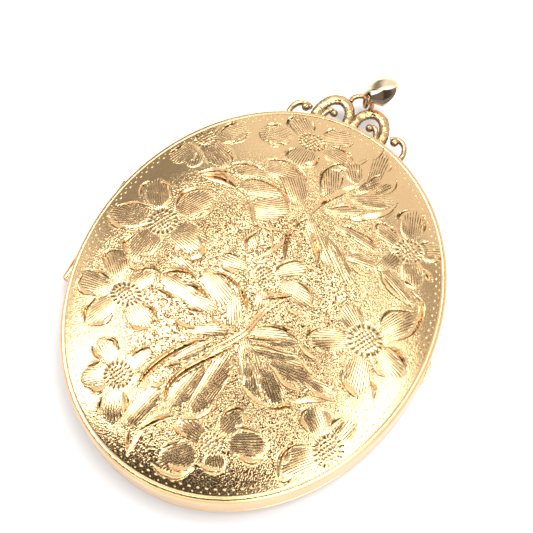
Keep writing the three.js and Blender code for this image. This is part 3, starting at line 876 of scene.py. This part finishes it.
def make_front_plate(material):
    """The engraved sheet: a shallow oval dome down to the groove, closed by its plain inside."""
    cells = GRID_CELLS
    unit_x, unit_y, quads, rim = disc_grid(cells)
    radius = np.hypot(unit_x, unit_y)
    x = unit_x * DOME_RADIUS
    y = unit_y * DOME_RADIUS * STRETCH
    relief, fields, hatch = engrave(x, y)
    fade = np.clip((1 - radius) * DOME_RADIUS / EDGE_FADE, 0, 1)
    z = EDGE_Z + DOME_RISE * (1 - radius**DOME_POWER) + relief * fade
    top = np.stack([x, y, z], -1)
    rows = [GROOVE, (GROOVE[0] - 0.15, GROOVE[1] - SHEET)]
    rows += [
        (DOME_RADIUS * part, EDGE_Z + DOME_RISE * (1 - part**DOME_POWER) - SHEET)
        for part in (0.94, 0.78, 0.55, 0.28)
    ]
    turn = np.arctan2(unit_y[rim], unit_x[rim])
    points = [top]
    for row_radius, row_z in rows:
        ring = np.stack([row_radius * np.cos(turn), row_radius * np.sin(turn) * STRETCH,
                         np.full_like(turn, row_z)], -1)
        points.append(ring)
    points.append(np.array([[0, 0, EDGE_Z + DOME_RISE - SHEET]]))
    points = np.vstack(points)
    faces = quads.tolist()
    around = len(rim)
    loops = [rim] + [len(top) + i * around + np.arange(around) for i in range(len(rows))]
    for upper, lower in zip(loops, loops[1:]):
        strip = np.stack([upper, lower, np.roll(lower, -1), np.roll(upper, -1)], -1)
        faces += strip.tolist()
    centre = len(points) - 1
    last = loops[-1]
    faces += [(int(a), centre, int(b)) for a, b in zip(last, np.roll(last, -1))]
    plate = mesh_object("front_plate", points, faces, material, "front_case", "gold_engraved",
                        ["front_cover"])
    extra = len(points) - len(top)
    for name, values in fields.items():
        layer = plate.data.attributes.new(name, "FLOAT", "POINT")
        layer.data.foreach_set("value", np.concatenate([values, np.zeros(extra)]).astype(np.float32))
    layer = plate.data.attributes.new("hatch", "FLOAT_VECTOR", "POINT")
    layer.data.foreach_set("vector", np.vstack([hatch, np.zeros((extra, 3))]).astype(np.float32).ravel())


# Two rows of punched grains inside the groove: distance in from the dome's edge, half length, half width,
# and how far the row is shifted along, in grains.
GRAIN_ROWS = ((0.62, 0.2, 0.12, 0.0), (0.26, 0.11, 0.09, 0.5))
GRAIN_COUNT = 148
GRAIN_HEIGHT = 0.07


def make_border_grains(material):
    """The border: two staggered rows of small raised grains."""
    template = bmesh.new()
    bmesh.ops.create_icosphere(template, subdivisions=2, radius=1)
    shape = np.array([v.co for v in template.verts])
    corners = [[v.index for v in f.verts] for f in template.faces]
    template.free()
    # Equal steps along the oval, found from its running length.
    fine = np.linspace(0, 2 * math.pi, 2001)
    points, faces = [], []
    for inset, half_length, half_width, offset in GRAIN_ROWS:
        radius = DOME_RADIUS - inset
        run = np.hypot(np.diff(radius * np.cos(fine)), np.diff(radius * STRETCH * np.sin(fine)))
        length = np.concatenate([[0], np.cumsum(run)])
        stations = (np.arange(GRAIN_COUNT) + offset) / GRAIN_COUNT * length[-1]
        for angle in np.interp(stations, length, fine):
            centre = np.array([radius * math.cos(angle), radius * STRETCH * math.sin(angle), 0])
            centre[2] = EDGE_Z + DOME_RISE * (1 - (radius / DOME_RADIUS) ** DOME_POWER)
            along = np.array([-math.sin(angle), STRETCH * math.cos(angle), 0])
            along /= np.linalg.norm(along)
            across = np.array([along[1], -along[0], -0.22])
            across /= np.linalg.norm(across)
            up = np.cross(across, along)
            axes = np.stack([along * half_length, across * half_width, up * GRAIN_HEIGHT])
            base = len(points) * len(shape)
            points.append(shape @ axes + centre)
            faces += [[base + i for i in face] for face in corners]
    mesh_object("border_grains", np.vstack(points), faces, material, "front_case", "gold_polished")


CASE_STEPS = 360


def make_case(material):
    """The rim and wall of the front, and the back shell."""
    inner = HALF_WIDTH - WALL
    foot = SEAM_Z + SEAM_GAP
    rows = [
        GROOVE, (DOME_RADIUS + 0.12, EDGE_Z - 0.01), (DOME_RADIUS + 0.19, EDGE_Z),
        (DOME_RADIUS + 0.3, EDGE_Z - 0.02), (HALF_WIDTH - 0.2, EDGE_Z - 0.05),
        (HALF_WIDTH - 0.1, EDGE_Z - 0.11), (HALF_WIDTH - 0.03, EDGE_Z - 0.23), (HALF_WIDTH, EDGE_Z - 0.42),
        (HALF_WIDTH, EDGE_Z - 1.2), (HALF_WIDTH, foot + 0.9), (HALF_WIDTH, foot + 0.1),
        (HALF_WIDTH - 0.12, foot), (inner, foot),
        (inner, 4.6), (GROOVE[0] - 0.15, GROOVE[1] - SHEET),
    ]
    rim = mesh_object("front_rim", *oval_ring(rows, CASE_STEPS), material, "front_case", "gold_polished",
                      ["front_cover"])
    face_outwards(rim)
    relieve_for_hinge(rim)
    back_top = SEAM_Z - SEAM_GAP
    rows = [
        (0, 0), (6, 0), (12.5, 0), (14, 0.03), (15.4, 0.1), (16.6, 0.21), (17.8, 0.38), (18.7, 0.56),
        (19.5, 0.78), (20.05, 0.98), (20.45, 1.22), (20.72, 1.46), (HALF_WIDTH - 0.02, 1.64),
        (HALF_WIDTH, 1.74),
        (HALF_WIDTH, back_top - 0.1), (HALF_WIDTH - 0.12, back_top), (inner, back_top), (inner, 1.78),
        (19.0, 1.3), (17.2, 0.92), (14.9, 0.68), (12.3, SHEET), (0, SHEET),
    ]
    shell = mesh_object("back_shell", *oval_cup(rows, CASE_STEPS), material, "back_case", "gold_polished",
                        ["back_cover"])
    face_outwards(shell)
    relieve_for_hinge(shell)


def case_edge(y, clearance=0.03):
    """How far the case reaches sideways at y."""
    part = y / (HALF_LENGTH + clearance)
    return (HALF_WIDTH + clearance) * math.sqrt(max(0.0, 1 - part * part))


def prism(outline, low, high):
    """Points and faces of an outline of (x, y) corners between two heights."""
    count = len(outline)
    points = [(x, y, z) for z in (low, high) for x, y in outline]
    faces = [tuple(reversed(range(count))), tuple(range(count, 2 * count))]
    faces += [(i, (i + 1) % count, count + (i + 1) % count, count + i) for i in range(count)]
    return points, faces


def round_edges(piece, width_mm):
    """Rounds a piece's edges."""
    edge = piece.modifiers.new("edge", "BEVEL")
    edge.width = width_mm * MM
    edge.segments = 3
    edge.limit_method = "ANGLE"
    edge.angle_limit = math.radians(30)
    face_outwards(piece)
    smooth(set_evaluated(piece))


def make_hinge(material):
    """Five bored knuckles with rounded ends, each with the leaf that joins it to its half."""
    sides = 40
    for number in range(1, KNUCKLE_COUNT + 1):
        name = f"hinge_knuckle_{number}"
        low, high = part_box(name)
        start, end = low.y / MM, high.y / MM
        on_back = number % 2 == 1
        section = [
            (BORE_RADIUS, start), (KNUCKLE_RADIUS - 0.08, start), (KNUCKLE_RADIUS - 0.02, start + 0.03),
            (KNUCKLE_RADIUS, start + 0.09), (KNUCKLE_RADIUS, end - 0.09), (KNUCKLE_RADIUS - 0.02, end - 0.03),
            (KNUCKLE_RADIUS - 0.08, end), (BORE_RADIUS, end),
        ]
        points = []
        for radius, y in section:
            for i in range(sides):
                a = 2 * math.pi * i / sides
                points.append((HINGE_X + radius * math.cos(a), y, SEAM_Z + radius * math.sin(a)))
        knuckle = points, skin_faces(len(section), sides)
        ys = np.linspace(start, end, 7)
        outline = [(HINGE_X, y) for y in ys] + [(-case_edge(y), y) for y in ys[::-1]]
        depth = KNUCKLE_RADIUS - 0.06
        low_z = SEAM_Z - 0.06 - depth if on_back else SEAM_Z + 0.06
        shape = together(knuckle, prism(outline, low_z, low_z + depth))
        body = "back_case" if on_back else "front_case"
        piece = mesh_object(name + "_turned", *shape, material, body, "gold_polished", [name])
        face_outwards(piece)
        smooth(piece.data)


def make_thumb_lip(material):
    """A small crescent for a fingernail, opposite the hinge."""
    centre_x = HALF_WIDTH + THUMB_REACH - THUMB_RADIUS
    arc = [(centre_x + THUMB_RADIUS * math.cos(a), THUMB_RADIUS * math.sin(a))
           for a in np.linspace(-0.7, 0.7, 41)]
    outline = [(x, y) for x, y in arc if x > case_edge(y)]
    outline += [(case_edge(y), y) for _, y in reversed(outline[1:-1])]
    shape = prism(outline, SEAM_Z + THUMB_LOW, SEAM_Z + THUMB_HIGH)
    lip = mesh_object("thumb_catch", *shape, material, "front_case", "gold_polished", ["thumb_lip"])
    round_edges(lip, 0.08)


# ---------------------------------------------------------------- gallery, ring and bail

ARCH = (
    (0.62, 24.9), (0.44, 26.2), (0.42, 27.3), (0.66, 28.35), (1.3, 29.22), (2.3, 29.62),
    (3.35, 29.25), (4.02, 28.35), (4.38, 27.3), (4.45, 26.3), (4.15, 25.5),
)
HOOK = ((4.4, 26.4), (4.05, 25.72), (3.66, 26.0), (3.5, 26.8), (3.12, 27.56), (2.62, 27.72))
CURL = ((7.1, 23.1), (7.62, 24.9), (7.62, 26.0), (7.2, 26.88), (6.5, 27.3), (5.82, 27.2), (5.4, 26.98))
HOOK_BEAD = (2.4, 27.36)
CURL_BEAD = (6.02, 26.74)
# The foot of the arch is kept this far within the middle line, below this height.
ARCH_INSET = 0.23
ARCH_WAIST = 28
# Each side: its name, its mirroring and how far it sits off true.
GALLERY_SIDES = (("left", -1, (-0.12, 0.15)), ("right", 1, (0, 0)))
LOOP_HALF_SPAN = 1.38
LOOP_RISE = 1.35
LOOP_WIRE = 0.6
VOXEL = 0.045


def squared(part):
    """Pushes a point of a circle towards the square round it."""
    return math.copysign(abs(part) ** 0.8, part)


def wire(points, width, thickness, sides=20, steps=10, chased=0.0):
    """Points and faces of an oval wire along a flat line, with flat ends and a slightly chased surface."""
    line = smooth_line(points, steps)
    run = np.gradient(line, axis=0)
    run /= np.hypot(run[:, 0], run[:, 1])[:, None]
    across = np.stack([-run[:, 1], run[:, 0]], -1)
    made = []
    turn = np.arange(sides) * 2 * math.pi / sides
    for i, (centre, side) in enumerate(zip(line, across)):
        swell = 1 + chased * math.sin(i * 1.15)
        half = width / 2 * swell
        for a in turn:
            offset = side * half * squared(math.cos(a))
            made.append((*(centre + offset), GALLERY_Z + thickness / 2 * squared(math.sin(a))))
    faces = skin_faces(len(line), sides, closed=False)
    faces.append(tuple(range(sides)))
    faces.append(tuple((len(line) - 1) * sides + i for i in range(sides)))
    return made, faces


def ball(x, y, radius):
    """Points and faces of a bead in the gallery's plane."""
    work = bmesh.new()
    bmesh.ops.create_icosphere(work, subdivisions=3, radius=radius)
    points = [(v.co.x + x, v.co.y + y, v.co.z + GALLERY_Z + 0.12) for v in work.verts]
    faces = [tuple(v.index for v in f.verts) for f in work.faces]
    work.free()
    return points, faces


def fuse(piece):
    """Melts a piece's overlapping shells into one skin, as cast and soldered metal is."""
    face_outwards(piece)
    melt = piece.modifiers.new("melt", "REMESH")
    melt.mode = "VOXEL"
    melt.voxel_size = VOXEL * MM
    melt.adaptivity = 0.0
    settle = piece.modifiers.new("settle", "SMOOTH")
    settle.factor = 0.5
    settle.iterations = 3
    mesh = set_evaluated(piece)
    points = np.zeros(len(mesh.vertices) * 3)
    mesh.vertices.foreach_get("co", points)
    points = points.reshape(-1, 3) / MM
    reach = np.hypot(points[:, 0], points[:, 1] / STRETCH)
    push = np.maximum(1, (HALF_WIDTH + SOLDER_GAP) / reach)
    points[:, :2] *= push[:, None]
    mesh.vertices.foreach_set("co", (points * MM).ravel())
    mesh.update()
    smooth(mesh, 60)


def make_gallery(material):
    """Two scrolls with inner hooks and beads, two outer curls, and the loop across their tops."""
    arch = [(max(x, BAND_WIDTH / 2 - ARCH_INSET) if y < ARCH_WAIST else x, y) for x, y in ARCH]
    thin = BAND_THICKNESS * 0.9
    for side, sign, shift in GALLERY_SIDES:

        def placed(points):
            return [(sign * x + shift[0], y + shift[1]) for x, y in points]

        casts = {
            "scroll": [
                wire(placed(arch), BAND_WIDTH, BAND_THICKNESS, chased=0.035),
                wire(placed(HOOK), CURL_WIDTH, thin), ball(*placed([HOOK_BEAD])[0], 0.5),
            ],
            "curl": [wire(placed(CURL), CURL_WIDTH, thin), ball(*placed([CURL_BEAD])[0], 0.54)],
        }
        for kind, shapes in casts.items():
            name = f"{kind}_{side}"
            shape = together(*shapes)
            fuse(mesh_object(name + "_cast", *shape, material, "back_case", "gold_scroll", [name]))
    loop = [(LOOP_HALF_SPAN, 29.95)]
    for a in np.linspace(0.26, math.pi - 0.26, 11):
        loop.append((LOOP_HALF_SPAN * math.cos(a), 30.25 + LOOP_RISE * math.sin(a)))
    loop.append((-LOOP_HALF_SPAN, 30.1))
    shape = wire(loop, LOOP_WIRE, LOOP_WIRE, sides=24)
    face_outwards(mesh_object("loop_wire", *shape, material, "back_case", "gold_scroll", ["top_loop"]))


def make_ring(material):
    """The jump ring, with the fine groove where its ends meet."""
    low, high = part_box("jump_ring")
    centre = np.array((low + high) / 2) / MM
    turn = Vector((0, 0, 1)).rotation_difference(RING_NORMAL).to_matrix()
    sides = 20
    points = []
    for i in range(RING_STEPS):
        a = 2 * math.pi * i / RING_STEPS
        joint = RING_JOINT_DEPTH if i == RING_JOINT else 0
        for k in range(sides):
            b = 2 * math.pi * k / sides
            reach = RING_RADIUS + (RING_WIRE - joint) * math.cos(b)
            spot = Vector((reach * math.cos(a), reach * math.sin(a), (RING_WIRE - joint) * math.sin(b)))
            points.append(np.array(turn @ spot) + centre)
    faces = skin_faces(RING_STEPS, sides)
    face_outwards(mesh_object("ring_wire", points, faces, material, "ring", "gold_scroll", ["jump_ring"]))


def bail_half_width(u):
    """Half the band's width at u: straight edges that meet at the front, the crown and the back."""
    span = min(int(u * 4), 3)
    part = u * 4 - span
    if span == 0:
        part = part**2
    elif span == 3:
        part = 1 - (1 - part) ** 2
    return BAIL_HALF_WIDTHS[span] * (1 - part) + BAIL_HALF_WIDTHS[span + 1] * part


def make_bail(material, shaded_inside):
    """The folded bail: a closed band of sheet with a ridge along its outside, and painted shade in dark brown
    on its inside faces.
    """
    up = (BAIL_UP - BAIL_ALONG * BAIL_UP.dot(BAIL_ALONG)).normalized()
    side = up.cross(BAIL_ALONG).normalized()
    around = 128
    stations = (-1, -0.85, -0.5, -0.12, 0, 0.12, 0.5, 0.85, 1)
    crests = {s: 1 - abs(s) if s else BAIL_CREST for s in stations}
    section = [(s, crests[s], 0) for s in stations]
    section += [(s, crests[s], -BAIL_SHEET) for s in reversed(stations)]
    points = []
    for i in range(around):
        u = i / around
        turn = 2 * math.pi * u
        along = BAIL_LENGTH / 2 * (1 - math.cos(turn))
        rise = BAIL_DEPTH / 2 * math.sin(turn) * abs(math.sin(turn / 2)) ** BAIL_TEAR
        out = Vector((-BAIL_DEPTH / 2 * math.cos(turn), BAIL_LENGTH / 2 * math.sin(turn))).normalized()
        half = bail_half_width(u)
        ridge = BAIL_RIDGE * half / BAIL_HALF_WIDTHS[1]
        for across, crest, layer in section:
            lift = ridge * crest + layer
            spot = BAIL_HEEL + BAIL_ALONG * (along + lift * out.x) + up * (rise + lift * out.y)
            points.append(spot + side * across * half)
    faces = skin_faces(around, len(section))
    band = mesh_object("bail_band", points, faces, material, "bail_body", "gold_pale", ["bail"])
    band.data.materials.append(shaded_inside)
    # The inside faces take the dark brown of painted shade.
    inside = range(len(stations), 2 * len(stations) - 1)
    for i, face in enumerate(band.data.polygons):
        face.material_index = int(i % len(section) in inside)
    face_outwards(band)
    smooth(band.data, 25)


# ---------------------------------------------------------------- everything together

def dress_cad_nodes(looks):
    """Gives each CAD node that is still shown its material and smooth shading."""
    for name, material in looks.items():
        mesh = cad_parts[name].data
        mesh.materials.clear()
        mesh.materials.append(material)
        smooth(mesh)


def main():
    scene.view_settings.view_transform = "Standard"
    make_camera()
    make_world()
    make_lights()
    make_floor()
    engraved = engraved_gold()
    polished = metal("gold_polished", GOLD, GOLD_ROSE, 0.13, 0.5)
    # The scrolls and the ring get painted shade on faces that turn away from the top.
    cast = metal("gold_scroll", GOLD_CAST, GOLD_BROWN, 0.13, 0.4, shade_and_tarnish=0.85, dented=0.09)
    pale = metal("gold_pale", GOLD_PALE, GOLD_STRAW, 0.09, 0.4)
    # Dark brown for the bail's inside faces: painted shade.
    bail_inside_shade = metal("gold_painted_shade", SHADE_BROWN, SHADE_BROWN_DEEP, 0.2, 0.4)
    drawn = metal("gold_pin", GOLD_WIRE, GOLD_WIRE_DARK, 0.22, 0.8)
    acetate = acetate_sheet()
    card = card_paper()
    make_front_plate(engraved)
    make_border_grains(polished)
    make_case(polished)
    make_hinge(polished)
    make_thumb_lip(polished)
    make_gallery(cast)
    make_ring(cast)
    make_bail(pale, bail_inside_shade)
    dress_cad_nodes({
        "snap_rim": polished, "photo_frame_back": polished, "photo_frame_front": polished,
        "glazing_back": acetate, "glazing_front": acetate, "photo_card_back": card, "photo_card_front": card,
        "hinge_pin": drawn,
    })


main()
